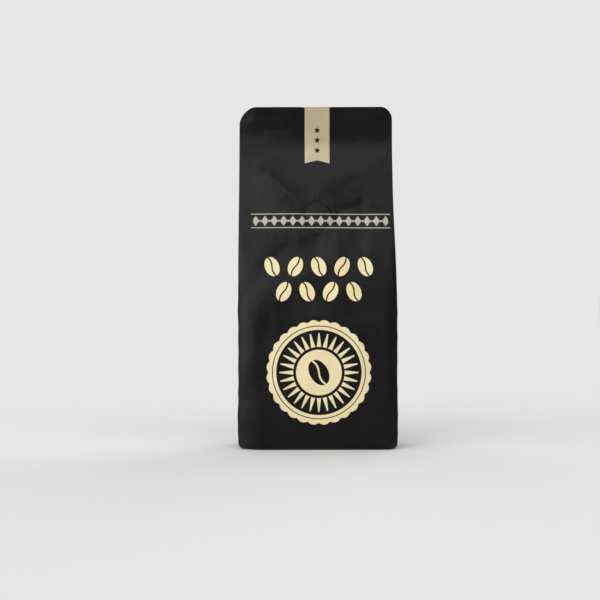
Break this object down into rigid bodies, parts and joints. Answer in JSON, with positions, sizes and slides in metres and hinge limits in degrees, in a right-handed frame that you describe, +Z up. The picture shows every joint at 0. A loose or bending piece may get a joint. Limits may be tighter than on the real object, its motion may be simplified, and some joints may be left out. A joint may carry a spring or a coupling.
{
  "type": "flat bottom coffee bag",
  "caption": "Shut, filled flat bottom coffee bag in matte black film, with folded side gussets, a flat welded top band, a round vent valve and a ribbon label folded over the top edge.",
  "frame": {"origin": "middle of the flat base, where the bag stands", "axes": "+Z up to the welded band, -Y out of the front with the valve, +X to the right as seen from the front"},
  "size_m": [0.1292, 0.072, 0.2812],
  "materials": {
    "film": "matte black laminated film, softly creased, with cream and tan print on the front",
    "label": "uncoated tan paper ribbon with three small dark stars"
  },
  "bodies": {
    "root": {"bag": "film", "ribbon_label": "label"}
  },
  "joints": []
}
